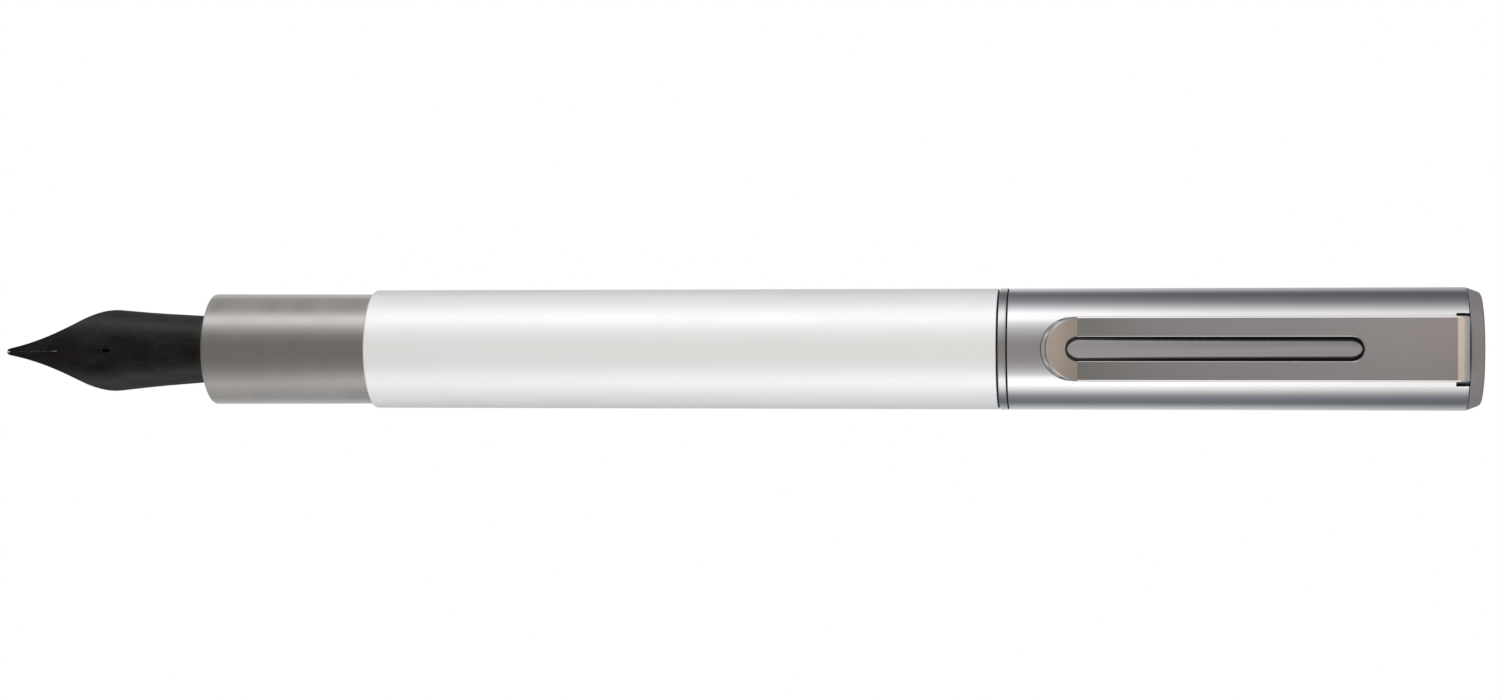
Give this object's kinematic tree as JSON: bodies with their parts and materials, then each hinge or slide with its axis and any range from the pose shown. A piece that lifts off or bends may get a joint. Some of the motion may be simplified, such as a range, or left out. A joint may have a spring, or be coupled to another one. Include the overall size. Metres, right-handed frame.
{
  "type": "fountain pen",
  "caption": "Fountain pen with a metal grip, painted barrel, piston converter and a steel cap with a windowed spring clip posted on the barrel's end.",
  "frame": {"origin": "on the pen's axis, halfway along the barrel", "axes": "+X along the pen's axis towards the cap's closed end, +Z towards the clip"},
  "size_m": [0.1498, 0.012, 0.0153],
  "materials": {
    "barrel_paint": "matt",
    "insert_brass": "machined",
    "tenon_steel": "polished",
    "spring_steel": "bright",
    "seal_rubber": "satin",
    "grip_metal": "satin",
    "black_plastic": "satin",
    "feed_plastic": "matt",
    "nib_steel": "dark satin",
    "tipping_metal": "polished",
    "grey_plastic": "gloss",
    "clear_plastic": "clear",
    "sleeve_steel": "polished",
    "knob_plastic": "satin",
    "nut_plastic": "satin",
    "rod_plastic": "satin",
    "cap_steel": "satin polished",
    "carrier_alloy": "blackened",
    "finial_steel": "satin polished",
    "screw_steel": "bright",
    "clip_steel": "satin polished"
  },
  "bodies": {
    "barrel": {"barrel_tube": "barrel_paint", "thread_insert": "insert_brass", "posting_tenon": "tenon_steel"},
    "friction_ring": {"tenon_friction_ring": "spring_steel"},
    "cap": {"cap_tube": "cap_steel", "inner_cap": "black_plastic", "clip_carrier": "carrier_alloy", "finial": "finial_steel", "finial_screw": "screw_steel", "clip_pin": "spring_steel", "clip_spring": "spring_steel"},
    "clip": {"clip": "clip_steel"},
    "section": {"section_o_ring": "seal_rubber", "grip_sleeve": "grip_metal", "section_core": "black_plastic", "nib_housing": "black_plastic", "feed": "feed_plastic", "nib": "nib_steel", "nib_tipping": "tipping_metal"},
    "converter": {"converter_socket": "grey_plastic", "converter_reservoir": "clear_plastic", "converter_sleeve": "sleeve_steel", "converter_guide_bush": "black_plastic"},
    "knob": {"converter_knob": "knob_plastic", "converter_drive_nut": "nut_plastic"},
    "piston": {"piston_rod": "rod_plastic", "piston_seal": "seal_rubber"}
  },
  "joints": [
    {"name": "cap_spin", "type": "hinge", "parent": "barrel", "child": "friction_ring", "pos_m": [0.03855, 0, 0], "axis": [1, 0, 0], "continuous": true},
    {"name": "cap_slide", "type": "slide", "parent": "friction_ring", "child": "cap", "axis": [1, 0, 0], "range_m": [0, 0.03]},
    {"name": "clip_lift", "type": "hinge", "parent": "cap", "child": "clip", "pos_m": [0.07578, 0, 0.004], "axis": [0, 1, 0], "range_deg": [0, 5], "stiffness_Nm_per_rad": 0.05},
    {"name": "section_pull", "type": "slide", "parent": "barrel", "child": "section", "axis": [-1, 0, 0], "range_m": [0, 0.075]},
    {"name": "converter_pull", "type": "slide", "parent": "section", "child": "converter", "axis": [1, 0, 0], "range_m": [0, 0.006]},
    {"name": "knob_turn", "type": "hinge", "parent": "converter", "child": "knob", "pos_m": [0.02825, 0, 0], "axis": [1, 0, 0], "range_deg": [0, 1441]},
    {"name": "piston_slide", "type": "slide", "parent": "converter", "child": "piston", "axis": [-1, 0, 0], "range_m": [0, 0.024]}
  ],
  "couplings": [
    {"joint": "knob_turn", "follows": "piston_slide", "rad_per_m": 1047.2}
  ]
}
